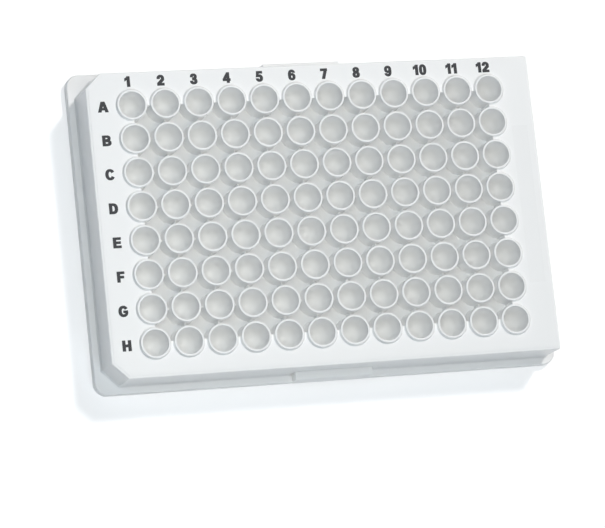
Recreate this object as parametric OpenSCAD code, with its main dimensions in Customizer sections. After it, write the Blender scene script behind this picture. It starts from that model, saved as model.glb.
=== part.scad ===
// Microplate with 8 rows of 12 round-bottomed wells, moulded in one piece.
// Units are millimetres. The plate stands on z = 0, centred on the origin,
// with its long side along X, row A at the +Y side and column 1 at the -X side.

/* [Footprint] */
// Length of the base flange
plate_l = 127.76; // [126:0.01:129]
// Width of the base flange
plate_w = 85.48; // [84:0.01:87]
// Height from the standing surface to the rims of the wells
plate_h = 14.4; // [13.5:0.1:16]
// Height of the base flange
flange_h = 2.4; // [2:0.1:3]
// Corner radius of the base flange
flange_r = 3.4; // [2:0.1:4]
// Radius of the upper edges of the flange and the grip blocks
flange_round = 0.4; // [0.1:0.05:0.6]
// Width of the ledge between the flange's edge and the side wall
ledge_w = 2.2; // [1.5:0.1:2.4]

/* [Side wall] */
// Thickness of the side wall, the deck and the flange's skin
wall_t = 1.2; // [1:0.1:1.6]
// Inward lean of the side wall between the ledge and the lid seat
wall_lean = 0.2; // [0:0.05:0.4]
// Width and height of the bevel at the wall's foot on the ledge
wall_foot = 0.4; // [0.1:0.05:0.6]
// Width and height of the bevel along the wall's top edge
wall_top = 0.2; // [0.1:0.05:0.3]
// Radius of the wall's two upright edges beside the last column, at the top
wall_round = 0.6; // [0.4:0.1:1.5]
// Cut across the two corners beside column 1
corner_cut = 4.3; // [3:0.1:6]
// Length of the grip block in the middle of each long side
grip_l = 21.2; // [15:0.1:30]
// Height of the grip blocks
grip_h = 6.1; // [4:0.1:8]

/* [Deck] */
// Height of the well rims above the deck
rim_rise = 0.65; // [0.4:0.05:1]
// Width of the lid seat round the deck's edge
seat_w = 0.7; // [0.4:0.1:1]
// Drop of the lid seat below the deck
seat_drop = 0.15; // [0.1:0.05:0.5]
// Width and height of the bevel where an outer well meets the deck
foot_bevel = 0.35; // [0.1:0.05:0.5]

/* [Pan between the wells] */
// Depth of the pan's floor below the rims
pan_depth = 6; // [4:0.1:8]
// Thickness of the pan's floor
pan_t = 1; // [0.8:0.1:1.5]
// Distance from the axes of the outer wells in to the pan's edge
pan_inset = 0.3; // [0:0.1:1]
// Thickness of the webs that join neighbouring wells
web_t = 0.5; // [0.4:0.1:1]
// Drop of the webs' top edges below the rims
web_drop = 2.7; // [1:0.1:4]

/* [Wells] */
// Number of wells along the plate
columns = 12; // [3:1:12]
// Number of wells across the plate
rows = 8; // [3:1:8]
// Distance between the axes of neighbouring wells
pitch = 9; // [9:0.1:9.2]
// Diameter of a well at its mouth
mouth_d = 6.9; // [6.6:0.05:7.1]
// Diameter of a well where its round bottom begins
bowl_d = 6.6; // [6.2:0.05:6.8]
// Depth of a well from the rim to its lowest point
well_depth = 10; // [9:0.1:11]
// Thickness of a well's wall at the rim
rim_t = 0.55; // [0.4:0.05:0.7]
// Radius of the rounded edges of the rims
rim_round = 0.15; // [0.05:0.05:0.2]
// Growth of a well's outer radius from the rim down to its round bottom
tube_lean = 0.12; // [0.05:0.01:0.2]

/* [Hidden] */
$fn = 96;

// Reach of a cutting shape past the solid, and overlap of stacked solids
reach = 1;
lap = 0.02;

// Heights above the standing surface
deck_z = plate_h - rim_rise;
seat_z = deck_z - seat_drop;
web_z = plate_h - web_drop;
pan_z = plate_h - pan_depth;
pan_foot_z = pan_z - pan_t;
bowl_z = plate_h - well_depth + bowl_d / 2;
lip_z = plate_h - rim_round;

// Outlines
wall_l = plate_l - 2 * ledge_w;
wall_w = plate_w - 2 * ledge_w;
wall_corner = wall_round + wall_lean;
grip_depth = ledge_w + wall_t / 2;
field_l = (columns - 1) * pitch;
field_w = (rows - 1) * pitch;
pan_l = field_l - 2 * pan_inset;
pan_w = field_w - 2 * pan_inset;

// Radii of a well: its mouth, and its outside at the rim and at the bowl
mouth_r = mouth_d / 2;
bowl_r = bowl_d / 2;
rim_r = mouth_r + rim_t;
tube_r = rim_r + tube_lean;

// How far the side wall has leaned in at height z
function lean(z) = wall_lean * (z - flange_h) / (seat_z - flange_h);

// Profiles of the side wall from the foot up, as [distance in, height]
outer_profile = [
    [-wall_foot, flange_h - lap],
    [-wall_foot, flange_h],
    [lean(flange_h + wall_foot), flange_h + wall_foot],
    [lean(seat_z - wall_top), seat_z - wall_top],
    [wall_lean + wall_top, seat_z]
];
inner_profile = [for (z = [flange_h - wall_t - lap, deck_z - wall_t]) [wall_t + lean(z), z]];
deck_profile = [for (z = [seat_z - lap, deck_z]) [wall_lean + seat_w, z]];

// Flat outlines ------------------------------------------------------------

module rounded_outline(l, w, r) {
    square([l - 2 * r, w], center = true);
    square([l, w - 2 * r], center = true);
    for (x = [-1, 1], y = [-1, 1])
        translate([x * (l / 2 - r), y * (w / 2 - r)]) circle(r);
}

// A section between two sides that follow a profile, each at its own half span
module profile_section(left, right, profile) {
    n = len(profile);
    polygon([
        for (i = [0:n - 1]) [right - profile[i][0], profile[i][1]],
        for (i = [n - 1:-1:0]) [profile[i][0] - left, profile[i][1]]
    ]);
}

// A section z0 to z1 high whose upper edge at half_span is rounded
module rounded_section(start, half_span, z0, z1) {
    difference() {
        translate([start, z0]) square([half_span - start, z1 - z0]);
        translate([half_span, z1]) edge_round(flange_round);
    }
}

// The half section of a rounded edge: what a radius leaves of a square corner
module edge_round(r) {
    difference() {
        square(2 * r, center = true);
        translate([-r, -r]) circle(r);
    }
}

// Outer body ---------------------------------------------------------------

// The block inside the side wall. Its four sides, and the two cut corners
// beside the first column, all follow the same profile.
module wall_block(profile) {
    span = plate_l + plate_w;
    cut = (wall_l / 2 + wall_w / 2 - corner_cut) / sqrt(2);
    intersection() {
        rotate([90, 0, 0]) linear_extrude(span, center = true)
            profile_section(wall_l / 2, wall_l / 2, profile);
        rotate([90, 0, 90]) linear_extrude(span, center = true)
            profile_section(wall_w / 2, wall_w / 2, profile);
        rotate([90, 0, 45]) linear_extrude(span, center = true)
            profile_section(cut, span / 2, profile);
        rotate([90, 0, -45]) linear_extrude(span, center = true)
            profile_section(cut, span / 2, profile);
    }
}

// What the rounded upright edges beside the last column lose
module corner_scraps(profile) {
    n = len(profile);
    side = wall_corner + wall_foot + reach;
    for (y = [0, 1]) mirror([0, y, 0])
        translate([wall_l / 2 - wall_corner, wall_w / 2 - wall_corner, 0]) difference() {
            translate([0, 0, flange_h]) cube([side, side, plate_h - flange_h]);
            rotate_extrude() polygon([
                [0, profile[0][1]],
                for (i = [0:n - 1]) [wall_corner - profile[i][0], profile[i][1]],
                [wall_corner - profile[n - 1][0], plate_h + reach],
                [0, plate_h + reach]
            ]);
        }
}

module flange(inset, z0, z1) {
    translate([0, 0, z0]) linear_extrude(z1 - z0)
        rounded_outline(plate_l - 2 * inset, plate_w - 2 * inset, flange_r - inset);
}

// The flange's outside: two slabs crossed over four corner posts
module flange_outside() {
    for (side = [0, 1]) {
        mirror([side, 0, 0]) rotate([90, 0, 0])
            linear_extrude(plate_w - 2 * flange_r, center = true)
                rounded_section(-lap, plate_l / 2, 0, flange_h);
        mirror([0, side, 0]) rotate([90, 0, 90])
            linear_extrude(plate_l - 2 * flange_r, center = true)
                rounded_section(-lap, plate_w / 2, 0, flange_h);
    }
    for (x = [-1, 1], y = [-1, 1])
        translate([x * (plate_l / 2 - flange_r), y * (plate_w / 2 - flange_r)])
            rotate_extrude() rounded_section(0, flange_r, 0, flange_h);
}

// The outsides of both grip blocks
module grips_outside() {
    for (side = [0, 1]) mirror([0, side, 0]) rotate([90, 0, 90])
        linear_extrude(grip_l, center = true)
            rounded_section(plate_w / 2 - grip_depth, plate_w / 2, 0, grip_h);
}

// The hollows inside both grip blocks
module grips_inside() {
    length = grip_l - 2 * wall_t;
    for (side = [0, 1]) mirror([0, side, 0])
        translate([-length / 2, plate_w / 2 - wall_t - grip_depth, -reach])
            cube([length, grip_depth, grip_h - wall_t + reach]);
}

module body_outside() {
    flange_outside();
    difference() {
        wall_block(outer_profile);
        corner_scraps(outer_profile);
    }
    wall_block(deck_profile);
    grips_outside();
}

// The hollow underneath: a wide step inside the flange, then the wall's inside
module body_hollow() {
    flange(wall_t, -reach, flange_h - wall_t);
    wall_block(inner_profile);
    grips_inside();
}

// Pan between the wells ----------------------------------------------------

module pan_prism(margin, z0, z1) {
    translate([-pan_l / 2 - margin, -pan_w / 2 - margin, z0])
        cube([pan_l + 2 * margin, pan_w + 2 * margin, z1 - z0]);
}

// The pan's wall and floor, hanging from the deck
module pan() {
    pan_prism(wall_t, pan_foot_z, deck_z - lap);
}

// The webs stand on the pan's floor, along the lines of well axes
module webs() {
    for (c = [1:columns - 2])
        translate([c * pitch - field_l / 2 - web_t / 2, -pan_w / 2 - lap, pan_z - lap])
            cube([web_t, pan_w + 2 * lap, web_z - pan_z + lap]);
    for (r = [1:rows - 2])
        translate([-pan_l / 2 - lap, r * pitch - field_w / 2 - web_t / 2, pan_z - lap])
            cube([pan_l + 2 * lap, web_t, web_z - pan_z + lap]);
}

// Wells --------------------------------------------------------------------

module at_well(c, r) {
    translate([c * pitch - field_l / 2, r * pitch - field_w / 2]) children();
}

module at_wells() {
    for (c = [0:columns - 1], r = [0:rows - 1]) at_well(c, r) children();
}

// The wells round the edge of the grid
module at_outer_wells() {
    for (c = [0:columns - 1], r = [0, rows - 1]) at_well(c, r) children();
    for (c = [0, columns - 1], r = [1:rows - 2]) at_well(c, r) children();
}

// The half section of a round bottom, up to height bowl_z
module bowl_section(radius) {
    span = radius + reach;
    intersection() {
        translate([0, bowl_z]) circle(radius);
        translate([0, bowl_z - span]) square(span);
    }
}

// The outside of one well, filled in
module tube() {
    rotate_extrude() {
        difference() {
            polygon([[0, bowl_z], [tube_r, bowl_z], [rim_r, lip_z], [rim_r, plate_h], [0, plate_h]]);
            translate([rim_r, plate_h]) edge_round(rim_round);
        }
        bowl_section(tube_r);
    }
}

// The inside of one well, opening a little at the rounded edge of its mouth
module bore() {
    rotate_extrude() {
        polygon([[0, bowl_z], [bowl_r, bowl_z], [mouth_r, lip_z], [mouth_r, plate_h + reach], [0, plate_h + reach]]);
        translate([mouth_r, plate_h]) mirror([1, 0]) edge_round(rim_round);
        bowl_section(bowl_r);
    }
}

// The bevels round the outer wells, left only where the deck carries them
module foot_bevels() {
    difference() {
        at_outer_wells() translate([0, 0, deck_z])
            cylinder(h = foot_bevel, r1 = rim_r + foot_bevel, r2 = rim_r);
        pan_prism(0, deck_z - reach, plate_h);
    }
}

module plate() {
    color([0.95, 0.95, 0.93]) difference() {
        union() {
            difference() {
                union() {
                    difference() {
                        body_outside();
                        body_hollow();
                    }
                    pan();
                }
                pan_prism(0, pan_z, plate_h);
            }
            webs();
            foot_bevels();
            at_wells() tube();
        }
        at_wells() bore();
    }
}

plate();
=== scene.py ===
# %% [markdown]
# # A moulded microplate with 96 round-bottomed wells
#
# The plate is one white polystyrene moulding, so one CAD solid already has its whole shape: the
# stepped skirt, the deck, the wells and the webs between them. This lesson adds what the mould and
# the printing screen leave on it. First comes the satin skin of the plastic, with a matt field for
# handwriting. Then come the charcoal letters and numbers, made as real but very thin solids.

# %% Load the frame
import math

import bpy
import numpy as np
from mathutils import Matrix, Vector


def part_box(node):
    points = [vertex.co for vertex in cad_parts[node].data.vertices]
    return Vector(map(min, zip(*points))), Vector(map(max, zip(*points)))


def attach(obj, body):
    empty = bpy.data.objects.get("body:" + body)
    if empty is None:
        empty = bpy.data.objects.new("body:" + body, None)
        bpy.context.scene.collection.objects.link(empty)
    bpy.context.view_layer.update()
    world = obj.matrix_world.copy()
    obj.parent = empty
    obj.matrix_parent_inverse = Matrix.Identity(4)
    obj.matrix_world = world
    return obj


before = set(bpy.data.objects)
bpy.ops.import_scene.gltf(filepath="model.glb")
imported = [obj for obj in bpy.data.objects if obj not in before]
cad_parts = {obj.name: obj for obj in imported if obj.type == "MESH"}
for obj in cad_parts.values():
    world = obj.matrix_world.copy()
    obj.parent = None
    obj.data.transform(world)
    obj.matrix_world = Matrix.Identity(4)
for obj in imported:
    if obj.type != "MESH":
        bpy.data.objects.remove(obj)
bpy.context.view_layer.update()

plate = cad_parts["plate"]
low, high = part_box("plate")
MM = 0.001
print("plate:", [round((b - a) / MM, 2) for a, b in zip(low, high)], "mm")

# %% [markdown]
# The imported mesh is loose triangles: along some edges, each side has points of its own. A Weld
# modifier joins the points that lie within a ten thousandth of a millimetre of each other. It
# leaves the mesh itself as it is, and keeps the surface closed when an export thins it.

# %% Closed surface
JOIN_WITHIN = 0.0001 * MM

weld = plate.modifiers.new("join", "WELD")
weld.merge_threshold = JOIN_WITHIN
print("points within", round(JOIN_WITHIN / MM, 4), "mm are joined")

# %% [markdown]
# ## Places on the plate
#
# Microplates keep to one published grid, so a few sizes place everything. The wells stand 9 mm
# apart in 12 columns and 8 rows, the grid is centred on the footprint, and the deck lies 0.65 mm
# below the rims of the wells. Column 1 is at the low end of X and row A at the high end of Y.

# %% The grid of wells
COLUMNS = 12
ROWS = 8
PITCH = 9 * MM
RIM_RISE = 0.65 * MM

deck_z = high.z - RIM_RISE
column_x = (np.arange(COLUMNS) - (COLUMNS - 1) / 2) * PITCH
row_y = ((ROWS - 1) / 2 - np.arange(ROWS)) * PITCH
print("deck at", round(deck_z / MM, 2), "mm")
print("columns from", column_x[[0, -1]] / MM, "mm and rows from", row_y[[0, -1]] / MM, "mm")

# %% [markdown]
# ## A short way to wire materials
#
# Every finish below is a small tree of nodes. Two helpers keep the trees readable: one starts a
# material, and one adds a node together with its settings and the wires into it.

# %% Node helpers


def new_material(name):
    """Starts a material and returns it with its node tree and its Principled shader."""
    material = bpy.data.materials.new(name)
    material.use_nodes = True
    tree = material.node_tree
    return material, tree, tree.nodes["Principled BSDF"]


def add(tree, kind, inputs=(), **settings):
    """Adds a node; inputs maps a socket's name or number to a value or to another node's output."""
    node = tree.nodes.new(kind)
    for key, value in settings.items():
        setattr(node, key, value)
    for socket, value in dict(inputs).items():
        if isinstance(value, bpy.types.NodeSocket):
            tree.links.new(value, node.inputs[socket])
        else:
            node.inputs[socket].default_value = value
    return node


def math_node(tree, operation, *values, clamp=False):
    """One arithmetic step on numbers or outputs, returned as an output."""
    return add(tree, "ShaderNodeMath", enumerate(values), operation=operation, use_clamp=clamp).outputs[0]


# %% [markdown]
# ## The matt field
#
# A strip of the deck beside column 12 is left rougher by the mould, so that a pen can write on it.
# On the real plate it is a change of texture and not of height, so it belongs in the material. A
# box can be described by how far a point lies past each of its sides. The largest of those
# distances is negative inside the box, and a soft step on it gives a mask with a clean edge.

# %% Mask of the matt field
FIELD_X = (54.9 * MM, 59.4 * MM)
FIELD_Y = (-21.8 * MM, 21.2 * MM)
FIELD_EDGE = 0.12 * MM
FIELD_DEPTH = 0.3 * MM


def box_mask(tree, place, x_range, y_range, edge):
    """1 inside an upright box, 0 outside, turning over within edge of its sides."""
    axes = add(tree, "ShaderNodeSeparateXYZ", {"Vector": place}).outputs
    past = []
    for axis, (first, last) in (("X", x_range), ("Y", y_range)):
        from_middle = math_node(tree, "SUBTRACT", axes[axis], (first + last) / 2)
        distance = math_node(tree, "ABSOLUTE", from_middle)
        past.append(math_node(tree, "SUBTRACT", distance, (last - first) / 2))
    furthest = math_node(tree, "MAXIMUM", *past)
    on_deck = math_node(tree, "GREATER_THAN", axes["Z"], deck_z - FIELD_DEPTH)
    ramp = add(tree, "ShaderNodeMapRange", {"Value": furthest, "From Min": edge, "From Max": -edge})
    return math_node(tree, "MULTIPLY", ramp.outputs[0], on_deck)


# %% [markdown]
# ## The moulded plastic
#
# White polystyrene is filled with a pigment that scatters nearly all light back. In a deep well the
# light bounces many times, while the renderer follows only a few of those bounces, so the colour
# is written a little lighter than the real one to make up for the rest. Subsurface scattering is
# left out. It hardly softened the wells and nearly doubled the time, so it is left out.
#
# The skin copies a finely eroded mould: satin, with a grain of a few tenths of a millimetre, and
# slow patches where the melt cooled unevenly. A fine noise gives the grain. A slow one gives the
# patches, in the gloss and faintly in the tone. Both read Object coordinates, which are metres on
# the plate, so each scale is set from a real length: it is about one over that length in metres.

# %% White polystyrene
PLASTIC = (0.984, 0.985, 0.978, 1)
PLASTIC_SHADE = (0.976, 0.978, 0.970, 1)
PLASTIC_IOR = 1.55
PATCH_SCALE = 60.0
GRAIN_SCALE = 3000.0
SMOOTHEST = 0.28
PATCH_ROUGHER = 0.08
FIELD_ROUGHER = 0.20
FIELD_DARKER = 0.035
GRAIN_HEIGHT = 0.01 * MM
GRAIN_STRENGTH = 0.3
GRAIN_SHARE = 0.6


def moulded_plastic():
    material, tree, shader = new_material("moulded polystyrene")
    place = add(tree, "ShaderNodeTexCoord").outputs["Object"]
    field = box_mask(tree, place, FIELD_X, FIELD_Y, FIELD_EDGE)

    patches = add(tree, "ShaderNodeTexNoise", {"Vector": place, "Scale": PATCH_SCALE, "Detail": 2.0})
    grain = add(tree, "ShaderNodeTexNoise", {"Vector": place, "Scale": GRAIN_SCALE, "Detail": 2.0})
    tone = add(tree, "ShaderNodeMix", {"Factor": patches.outputs["Fac"]}, data_type="RGBA")
    tone.inputs[6].default_value = PLASTIC
    tone.inputs[7].default_value = PLASTIC_SHADE
    loss = math_node(tree, "MULTIPLY", field, FIELD_DARKER)
    dim = add(tree, "ShaderNodeMix", {"Factor": loss}, data_type="RGBA")
    tree.links.new(tone.outputs[2], dim.inputs[6])
    dim.inputs[7].default_value = (0, 0, 0, 1)
    tree.links.new(dim.outputs[2], shader.inputs["Base Color"])

    sheen = math_node(tree, "MULTIPLY_ADD", patches.outputs["Fac"], PATCH_ROUGHER, SMOOTHEST)
    rough = math_node(tree, "MULTIPLY_ADD", field, FIELD_ROUGHER, sheen)
    tree.links.new(rough, shader.inputs["Roughness"])
    share = math_node(tree, "ADD", field, GRAIN_SHARE)
    depth = math_node(tree, "MULTIPLY", grain.outputs["Fac"], share)
    relief = {"Height": depth, "Strength": GRAIN_STRENGTH, "Distance": GRAIN_HEIGHT}
    bump = add(tree, "ShaderNodeBump", relief)
    tree.links.new(bump.outputs["Normal"], shader.inputs["Normal"])
    shader.inputs["IOR"].default_value = PLASTIC_IOR
    return material


plate.data.materials.clear()
plate.data.materials.append(moulded_plastic())
print("plastic on", plate.name, "with", len(plate.data.polygons), "faces")

# %% [markdown]
# ## Shapes for the letters
#
# The labels are screen-printed in a heavy sans-serif. Each sign is drawn here as a field: a
# function of x and y that is negative inside the sign, nought on its edge and positive outside,
# and is close to the distance from that edge. Fields are easy to combine: the smaller of two joins
# their shapes, and the larger keeps only what they share. A sign is 1 unit high and stands at 0.
# Ink creeps outwards as it dries, so the printed edge lies SPREAD further out than the drawn one.

# %% Field shapes
STEM = 0.27
THIN = 0.21
SPREAD = 0.03


def box(x, y, left, foot, right, top):
    """An upright rectangle: the furthest of the four distances past its sides."""
    across = np.maximum(left - x, x - right)
    along = np.maximum(foot - y, y - top)
    return np.maximum(across, along)


def bar(x, y, start, end, width):
    """A slanting bar: distances past its two ends and past half its width on either side."""
    length = np.hypot(end[0] - start[0], end[1] - start[1])
    ux = (end[0] - start[0]) / length
    uy = (end[1] - start[1]) / length
    along = (x - start[0]) * ux + (y - start[1]) * uy
    across = (y - start[1]) * ux - (x - start[0]) * uy
    return np.maximum(np.abs(along - length / 2) - length / 2, np.abs(across) - width / 2)


def oval(x, y, cx, cy, rx, ry, power=2.2):
    """A squarish oval whose edge is |x / rx|^power + |y / ry|^power = 1.

    Dividing by the steepness of that sum makes the value a distance near the edge.
    """
    u = np.abs(x - cx) / rx
    v = np.abs(y - cy) / ry
    rho = (u**power + v**power) ** (1 / power) + 1e-9
    steepness = np.hypot((u / rho) ** (power - 1) / rx, (v / rho) ** (power - 1) / ry)
    return (rho - 1) / (steepness + 1e-9)


def ring(x, y, cx, cy, rx, ry, side=STEM, cap=THIN, power=2.2):
    """An oval less a smaller oval, side wide at the left and right and cap thick above and below."""
    outer = oval(x, y, cx, cy, rx, ry, power)
    inner = oval(x, y, cx, cy, rx - side, ry - cap, power)
    return np.maximum(outer, -inner)


def join(*parts):
    """What lies in any of the parts."""
    return np.minimum.reduce(parts)


def both(*parts):
    """What lies in all of the parts."""
    return np.maximum.reduce(parts)


def cut(part, *tools):
    """What is left of a part when the tools are taken from it."""
    return np.maximum.reduce([part] + [-tool for tool in tools])


print("shapes: box, bar, oval, ring; stem", STEM, "and arm", THIN, "of the height")

# %% [markdown]
# ## The digits
#
# Heavy digits are built from a few ovals and bars. An 8 is two rings, a 6 is a ring under half of
# a taller one, and a 9 is a 6 turned half round.

# %% Digits


def digit_0(x, y):
    return ring(x, y, 0.35, 0.5, 0.35, 0.515, power=2.4)


def digit_1(x, y):
    flag = both(bar(x, y, (-0.10, 0.62), (0.42, 0.93), 0.21), box(x, y, 0, 0.4, 0.42, 1))
    return join(box(x, y, 0.22, 0, 0.49, 1), flag)


def digit_2(x, y):
    arch = ring(x, y, 0.355, 0.69, 0.345, 0.325)
    arch = cut(arch, box(x, y, -1, -1, 0.36, 0.66), box(x, y, 0.3, -1, 2, 0.60))
    slope = both(bar(x, y, (-0.09, -0.06), (0.67, 0.68), 0.26), box(x, y, 0.02, 0, 0.695, 0.62))
    return join(arch, slope, box(x, y, 0.02, 0, 0.70, THIN))


def digit_3(x, y):
    upper = cut(ring(x, y, 0.345, 0.73, 0.315, 0.285, 0.255, 0.19), box(x, y, -1, 0.40, 0.33, 0.70))
    lower = cut(ring(x, y, 0.345, 0.285, 0.345, 0.30, 0.27, 0.20), box(x, y, -1, 0.31, 0.33, 0.9))
    return join(upper, lower, box(x, y, 0.22, 0.41, 0.42, 0.615))


def digit_4(x, y):
    slope = both(bar(x, y, (-0.02, 0.14), (0.56, 1.04), 0.21), box(x, y, 0, 0.19, 0.60, 1))
    return join(box(x, y, 0.39, 0, 0.645, 1), slope, box(x, y, 0, 0.19, 0.74, 0.39))


def digit_5(x, y):
    bowl = cut(ring(x, y, 0.345, 0.325, 0.345, 0.345), box(x, y, -1, 0.28, 0.32, 0.44))
    back = both(bar(x, y, (0.135, 0.30), (0.22, 1.1), 0.22), box(x, y, 0, 0.44, 0.4, 1))
    return join(bowl, back, box(x, y, 0.14, 0.79, 0.65, 1))


def digit_6(x, y):
    bowl = ring(x, y, 0.36, 0.325, 0.34, 0.34, 0.25, 0.19)
    shell = ring(x, y, 0.37, 0.5, 0.36, 0.515, 0.25, 0.20, 2.3)
    back = both(shell, box(x, y, -1, 0.33, 0.38, 2))
    tip = both(shell, box(x, y, 0.36, 0.735, 0.685, 2))
    return join(bowl, back, tip)


def digit_7(x, y):
    leg = both(bar(x, y, (0.215, -0.1), (0.555, 1.0), 0.27), box(x, y, 0, 0, 0.67, 1))
    return join(leg, box(x, y, 0, 0.79, 0.67, 1))


def digit_8(x, y):
    upper = ring(x, y, 0.35, 0.745, 0.31, 0.27, 0.25, 0.18)
    lower = ring(x, y, 0.35, 0.285, 0.35, 0.30, 0.27, 0.19)
    return join(upper, lower)


def digit_9(x, y):
    return digit_6(0.70 - x, 1 - y)


# %% [markdown]
# ## The letters
#
# Straight stems and arms are boxes, a bowl is the right half of a ring, and the open ends of C
# and G are cut back on a slant.

# %% Letters


def arms(x, y, *spans):
    """Level arms from the stem: each span is (foot, top, right end)."""
    return join(*[box(x, y, 0.1, foot, end, top) for foot, top, end in spans])


def half_ring(x, y, cx, *sizes):
    """The right half of a ring whose middle is at cx."""
    return both(ring(x, y, cx, *sizes), box(x, y, cx, -1, 2, 2))


def upper_slant(x, y):
    """The slanting cut through the upper end of a C or G."""
    return both(bar(x, y, (0.36, 0.44), (1.2, 0.86), 0.20), box(x, y, 0.50, 0.4, 2, 1))


def letter_a(x, y):
    left = bar(x, y, (0.10, -0.06), (0.44, 1.02), STEM)
    right = bar(x, y, (0.84, -0.06), (0.50, 1.02), STEM)
    return join(both(join(left, right), box(x, y, -1, 0, 2, 1)), box(x, y, 0.2, 0.2, 0.74, 0.38))


def letter_b(x, y):
    upper = half_ring(x, y, 0.42, 0.735, 0.36, 0.265, 0.255, 0.18, 2.4)
    lower = half_ring(x, y, 0.42, 0.285, 0.41, 0.285, 0.27, 0.19, 2.4)
    links = arms(x, y, (0, 0.19, 0.43), (0.39, 0.64, 0.43), (0.82, 1, 0.43))
    return join(box(x, y, 0, 0, STEM, 1), upper, lower, links)


def letter_c(x, y):
    bow = ring(x, y, 0.44, 0.5, 0.44, 0.52)
    return cut(bow, box(x, y, 0.45, 0.33, 2, 0.67), upper_slant(x, y), upper_slant(x, 1 - y))


def letter_d(x, y):
    bow = half_ring(x, y, 0.34, 0.5, 0.48, 0.5, STEM, THIN, 2.4)
    return join(box(x, y, 0, 0, STEM, 1), bow, arms(x, y, (0, THIN, 0.35), (1 - THIN, 1, 0.35)))


def letter_e(x, y):
    return join(box(x, y, 0, 0, STEM, 1), arms(x, y, (0, 0.20, 0.76), (0.405, 0.60, 0.71), (0.80, 1, 0.74)))


def letter_f(x, y):
    return join(box(x, y, 0, 0, STEM, 1), arms(x, y, (0.385, 0.585, 0.64), (0.80, 1, 0.70)))


def letter_g(x, y):
    bow = cut(ring(x, y, 0.455, 0.5, 0.455, 0.52), box(x, y, 0.46, 0.22, 2, 0.67), upper_slant(x, y))
    jaw = both(box(x, y, 0.64, 0.10, 0.885, 0.5), oval(x, y, 0.455, 0.5, 0.455, 0.52))
    return join(bow, jaw, box(x, y, 0.47, 0.36, 0.885, 0.55))


def letter_h(x, y):
    return join(box(x, y, 0, 0, STEM, 1), box(x, y, 0.56, 0, 0.83, 1), arms(x, y, (0.395, 0.605, 0.6)))


SIGNS = {
    "0": (digit_0, 0.70),
    "1": (digit_1, 0.49),
    "2": (digit_2, 0.70),
    "3": (digit_3, 0.69),
    "4": (digit_4, 0.74),
    "5": (digit_5, 0.69),
    "6": (digit_6, 0.70),
    "7": (digit_7, 0.67),
    "8": (digit_8, 0.70),
    "9": (digit_9, 0.70),
    "A": (letter_a, 0.94),
    "B": (letter_b, 0.83),
    "C": (letter_c, 0.86),
    "D": (letter_d, 0.82),
    "E": (letter_e, 0.76),
    "F": (letter_f, 0.70),
    "G": (letter_g, 0.885),
    "H": (letter_h, 0.83),
}
print("signs:", "".join(SIGNS))

# %% [markdown]
# ## From a field to a solid
#
# A field becomes a mesh by sampling it on a grid of small triangles. A triangle that lies inside
# is kept whole. One that the edge crosses is cut, at the points where the field passes nought.
# The field changes almost evenly across one small triangle, so those points lie close to the true
# edge. The flat shape is then given a top and a foot, with a wall between them along every cut.

# %% Cutting triangles along the edge


def odd_corner_first(triangles, odd):
    """Turns each triangle, keeping its direction, until its one odd corner comes first."""
    order = (odd.argmax(axis=1)[:, None] + np.arange(3)) % 3
    return np.take_along_axis(triangles, order, axis=1)


def cut_shape(shape, width, cell):
    """Corners and triangles of a flat shape, and the edges that bound it, from its field.

    A cut lies at p + t (q - p), where t = f(p) / (f(p) - f(q)) for the field f at the ends p, q.
    """
    margin = SPREAD + 2 * cell
    across = np.arange(-margin, width + margin + cell, cell)
    along = np.arange(-margin, 1 + margin + cell, cell)
    grid_x, grid_y = np.meshgrid(across, along)
    field = shape(grid_x, grid_y).ravel() - SPREAD
    field = np.where(np.abs(field) < 1e-5, 1e-5, field)
    points = np.stack([grid_x.ravel(), grid_y.ravel()], axis=1)

    number = np.arange(field.size).reshape(grid_x.shape)
    sw = number[:-1, :-1].ravel()
    se = number[:-1, 1:].ravel()
    nw = number[1:, :-1].ravel()
    ne = number[1:, 1:].ravel()
    triangles = np.concatenate([np.stack([sw, se, ne], axis=1), np.stack([sw, ne, nw], axis=1)])
    inside = field[triangles] < 0
    count = inside.sum(axis=1)
    tip = odd_corner_first(triangles[count == 1], inside[count == 1])
    stump = odd_corner_first(triangles[count == 2], ~inside[count == 2])

    crossed = np.concatenate([tip[:, [0, 1]], tip[:, [0, 2]], stump[:, [0, 1]], stump[:, [0, 2]]])
    edges, which = np.unique(np.sort(crossed, axis=1), axis=0, return_inverse=True)
    first, second = field[edges].T
    share = (first / (first - second))[:, None]
    cuts = points[edges[:, 0]] + share * (points[edges[:, 1]] - points[edges[:, 0]])
    places = np.cumsum([len(tip), len(tip), len(stump)])
    tip_b, tip_c, stump_b, stump_c = np.split(which.ravel() + field.size, places)

    faces = np.concatenate([
        triangles[count == 3],
        np.stack([tip[:, 0], tip_b, tip_c], axis=1),
        np.stack([stump_b, stump[:, 1], stump[:, 2]], axis=1),
        np.stack([stump_b, stump[:, 2], stump_c], axis=1),
    ])
    bounds = np.concatenate([np.stack([tip_b, tip_c], axis=1), np.stack([stump_c, stump_b], axis=1)])
    return np.concatenate([points, cuts]), faces, bounds


def thicken(points, faces, bounds, foot, top):
    """A closed solid between two heights: the shape above, the same shape turned over below, and walls."""
    used, renumbered = np.unique(np.concatenate([faces.ravel(), bounds.ravel()]), return_inverse=True)
    points = points[used]
    faces, bounds = np.split(renumbered.ravel(), [faces.size])
    faces = faces.reshape(-1, 3)
    a, b = bounds.reshape(-1, 2).T
    n = len(points)
    upper = np.column_stack([points, np.full(n, top)])
    lower = np.column_stack([points, np.full(n, foot)])
    walls = np.concatenate([np.stack([b, a, a + n], axis=1), np.stack([b, a + n, b + n], axis=1)])
    return np.concatenate([upper, lower]), np.concatenate([faces, faces[:, ::-1] + n, walls])


# %% [markdown]
# ## The print
#
# Screen ink lies on the deck in a film of about a hundredth of a millimetre. Each sign is a solid
# of that height whose foot is just inside the plastic, so no light shows under it.

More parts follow.
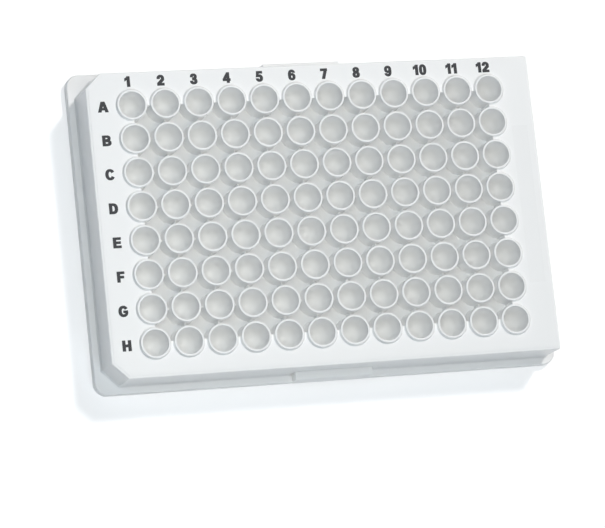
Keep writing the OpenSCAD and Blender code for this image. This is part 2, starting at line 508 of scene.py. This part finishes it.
# %% Printed signs
INK_TOP = deck_z + 0.015 * MM
INK_FOOT = deck_z - 0.010 * MM
SIGN_HEIGHT = 2.72 * MM
SIGN_GAP = 0.14
CELL = 0.02


def word_width(word):
    """The width of a row of signs with a gap between neighbours, in heights."""
    return sum(SIGNS[sign][1] for sign in word) + SIGN_GAP * (len(word) - 1)


def print_word(word, left, foot, height):
    """The corners and triangles of a row of signs that starts at (left, foot) on the deck."""
    corners, triangles, start, first = [], [], 0.0, 0
    for sign in word:
        shape, width = SIGNS[sign]
        points, faces = thicken(*cut_shape(shape, width, CELL), INK_FOOT, INK_TOP)
        points[:, 0] = left + (points[:, 0] + start) * height
        points[:, 1] = foot + points[:, 1] * height
        corners.append(points)
        triangles.append(faces + first)
        start += width + SIGN_GAP
        first += len(points)
    return np.concatenate(corners), np.concatenate(triangles)


def make_print(name, words, material):
    """One piece from many words, each given as (word, left, foot, height)."""
    corners, triangles, first = [], [], 0
    for word in words:
        points, faces = print_word(*word)
        corners.append(points)
        triangles.append(faces + first)
        first += len(points)
    mesh = bpy.data.meshes.new(name)
    mesh.from_pydata(np.concatenate(corners).tolist(), [], np.concatenate(triangles).tolist())
    mesh.materials.append(material)
    piece = bpy.data.objects.new(name, mesh)
    bpy.context.scene.collection.objects.link(piece)
    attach(piece, "root")
    print(name, "has", len(mesh.polygons), "faces")


# %% [markdown]
# ## The ink
#
# The ink is a charcoal that isn't quite black, flat with a faint gloss where it lies smooth. Fine
# noise thins it a little here and there, as the mesh of the screen does.

# %% Charcoal ink
INK = (0.018, 0.020, 0.024, 1)
INK_THINNED = (0.034, 0.037, 0.043, 1)
WEAVE_SCALE = 2500.0
INK_SMOOTHEST = 0.42
WEAVE_ROUGHER = 0.2
WEAVE_HEIGHT = 0.005 * MM
WEAVE_STRENGTH = 0.3


def charcoal_ink():
    material, tree, shader = new_material("charcoal ink")
    place = add(tree, "ShaderNodeTexCoord").outputs["Object"]
    weave = add(tree, "ShaderNodeTexNoise", {"Vector": place, "Scale": WEAVE_SCALE, "Detail": 3.0})
    colour = add(tree, "ShaderNodeMix", {"Factor": weave.outputs["Fac"]}, data_type="RGBA")
    colour.inputs[6].default_value = INK
    colour.inputs[7].default_value = INK_THINNED
    tree.links.new(colour.outputs[2], shader.inputs["Base Color"])
    rough = math_node(tree, "MULTIPLY_ADD", weave.outputs["Fac"], WEAVE_ROUGHER, INK_SMOOTHEST)
    tree.links.new(rough, shader.inputs["Roughness"])
    relief = {"Height": weave.outputs["Fac"], "Strength": WEAVE_STRENGTH, "Distance": WEAVE_HEIGHT}
    bump = add(tree, "ShaderNodeBump", relief)
    tree.links.new(bump.outputs["Normal"], shader.inputs["Normal"])
    return material


ink = charcoal_ink()
print("ink:", ink.name)

# %% [markdown]
# ## Where the signs stand
#
# The screen was laid a little off the grid of wells, and a hair narrow and askew. The number of
# column 1 stands 0.6 mm to the left of its wells. Each number after it lies 0.03 mm further to the
# left and 0.014 mm lower. The letters end on one line and stand 0.2 mm below their rows' middles.

# %% Column numbers and row letters
NUMBER_MIDDLE_Y = 37.8 * MM
NUMBER_SHIFT = -0.60 * MM
NUMBER_CREEP = -0.03 * MM
NUMBER_FALL = -0.014 * MM
LETTER_RIGHT_X = -55.95 * MM
LETTER_SHIFT = -0.20 * MM

numbers = []
for column in range(COLUMNS):
    word = str(column + 1)
    middle = column_x[column] + NUMBER_SHIFT + column * NUMBER_CREEP
    left = middle - word_width(word) * SIGN_HEIGHT / 2
    foot = NUMBER_MIDDLE_Y + column * NUMBER_FALL - SIGN_HEIGHT / 2
    numbers.append((word, left, foot, SIGN_HEIGHT))
make_print("column_numbers", numbers, ink)

letters = []
for row in range(ROWS):
    word = "ABCDEFGH"[row]
    left = LETTER_RIGHT_X - word_width(word) * SIGN_HEIGHT
    letters.append((word, left, row_y[row] + LETTER_SHIFT - SIGN_HEIGHT / 2, SIGN_HEIGHT))
make_print("row_letters", letters, ink)

# %% [markdown]
# ## The stage
#
# The plate lies on a plain white table. The table has to look white without being lit harder than
# the plate, so a little glow is added to it. Only rays from the camera, and those that a glossy
# surface mirrors, see that glow, so it doesn't light the plate, and the soft shadow stays.

# %% Table
TABLE_SIZE = 6.0
TABLE_COLOUR = (0.90, 0.90, 0.90, 1)
TABLE_ROUGHNESS = 0.6
TABLE_GLOW = 0.33


def make_table():
    half = TABLE_SIZE / 2
    mesh = bpy.data.meshes.new("table")
    corners = [(-half, -half, 0), (half, -half, 0), (half, half, 0), (-half, half, 0)]
    mesh.from_pydata(corners, [], [(0, 1, 2, 3)])
    table = bpy.data.objects.new("table", mesh)
    bpy.context.scene.collection.objects.link(table)
    material, tree, shader = new_material("white table")
    shader.inputs["Base Color"].default_value = TABLE_COLOUR
    shader.inputs["Roughness"].default_value = TABLE_ROUGHNESS
    rays = add(tree, "ShaderNodeLightPath").outputs
    mirrored = math_node(tree, "MAXIMUM", rays["Is Glossy Ray"], rays["Is Transmission Ray"])
    seen = math_node(tree, "MAXIMUM", rays["Is Camera Ray"], mirrored)
    glow = add(tree, "ShaderNodeEmission", {"Color": (1, 1, 1, 1), "Strength": TABLE_GLOW})
    lit = add(tree, "ShaderNodeAddShader", {0: shader.outputs[0], 1: glow.outputs[0]})
    mix = add(tree, "ShaderNodeMixShader", {"Fac": seen, 1: shader.outputs[0], 2: lit.outputs[0]})
    tree.links.new(mix.outputs[0], tree.nodes["Material Output"].inputs["Surface"])
    mesh.materials.append(material)


make_table()
print("table", TABLE_SIZE, "m wide")

# %% [markdown]
# ## The light
#
# White plastic shows its form only through soft, slightly uneven light. One small box, the key,
# throws the crisp edges of shade in the wells and beside the cut corner. A second one hangs high and
# close, just beyond the left edge, so the deck darkens a little towards the right. Two bluish boxes,
# a wide one in front and a faint one on the left, lighten and tint the flanks of the skirt. A dim
# sky does the rest.
#
# Each box is given by the two angles it shines from, its distance, its size and its power. At a
# distance d a box of power P lights a face turned towards it by P / (pi d^2), so a box that is
# moved away needs more power for the same light.

# %% Lamps


def from_angles(azimuth, elevation, distance):
    """The point at that distance from the middle, where two angles in degrees point to."""
    a = math.radians(azimuth)
    e = math.radians(elevation)
    return Vector((math.cos(e) * math.cos(a), math.cos(e) * math.sin(a), math.sin(e))) * distance


def aim(thing, target, roll=0.0):
    """Points an object's -Z axis at the target and rolls it about the line of sight."""
    away = Vector(target) - thing.location
    turn = away.to_track_quat("-Z", "Y").to_matrix() @ Matrix.Rotation(roll, 3, "Z")
    thing.rotation_euler = turn.to_euler()


def softbox(name, azimuth, elevation, distance, size, power, colour):
    """A square area lamp, turned towards the middle of the plate."""
    lamp = bpy.data.lights.new(name, "AREA")
    lamp.shape = "SQUARE"
    lamp.size = size
    lamp.energy = power
    lamp.color = colour
    thing = bpy.data.objects.new(name, lamp)
    bpy.context.scene.collection.objects.link(thing)
    thing.location = from_angles(azimuth, elevation, distance)
    aim(thing, (0, 0, high.z))
    print(name, "at", [round(v, 2) for v in thing.location], "m,", power, "W")


SKY_COLOUR = (0.96, 0.98, 1, 1)
SKY_STRENGTH = 0.02
LAMPS = [
    ("key", 50, 50, 2.0, 0.25, 19.0, (1.00, 0.97, 0.95)),
    ("high_left", 205, 75, 0.45, 0.20, 0.65, (1.00, 1.00, 0.95)),
    ("wide_front", 290, 45, 2.0, 0.90, 9.5, (0.80, 0.90, 1.00)),
    ("left_side", 165, 55, 0.8, 0.40, 0.65, (0.45, 0.70, 1.00)),
]
for lamp_settings in LAMPS:
    softbox(*lamp_settings)

world = bpy.data.worlds.new("studio")
bpy.context.scene.world = world
world.use_nodes = True
background = world.node_tree.nodes["Background"]
background.inputs["Color"].default_value = SKY_COLOUR
background.inputs["Strength"].default_value = SKY_STRENGTH

# %% [markdown]
# ## The camera
#
# A long lens looks down steeply from the corner by row H and column 1, so the rims stay nearly
# round and only a little of each well's far wall shows.

# %% Camera
CAMERA_AZIMUTH = -151.7
CAMERA_ELEVATION = 70.97
CAMERA_DISTANCE = 831.2 * MM
CAMERA_ROLL = 56.9
CAMERA_TARGET = Vector((-8.03, -13.25, 14.4)) * MM
FOCAL_LENGTH = 188.6
SENSOR_WIDTH = 36

lens = bpy.data.cameras.new("camera")
lens.lens = FOCAL_LENGTH
lens.sensor_width = SENSOR_WIDTH
lens.clip_start = 0.01
camera = bpy.data.objects.new("camera", lens)
bpy.context.scene.collection.objects.link(camera)
camera.location = CAMERA_TARGET + from_angles(CAMERA_AZIMUTH, CAMERA_ELEVATION, CAMERA_DISTANCE)
aim(camera, CAMERA_TARGET, math.radians(CAMERA_ROLL))
bpy.context.scene.camera = camera
bpy.context.scene.view_settings.view_transform = "Standard"
print("camera", round(CAMERA_DISTANCE, 2), "m away with a", FOCAL_LENGTH, "mm lens")
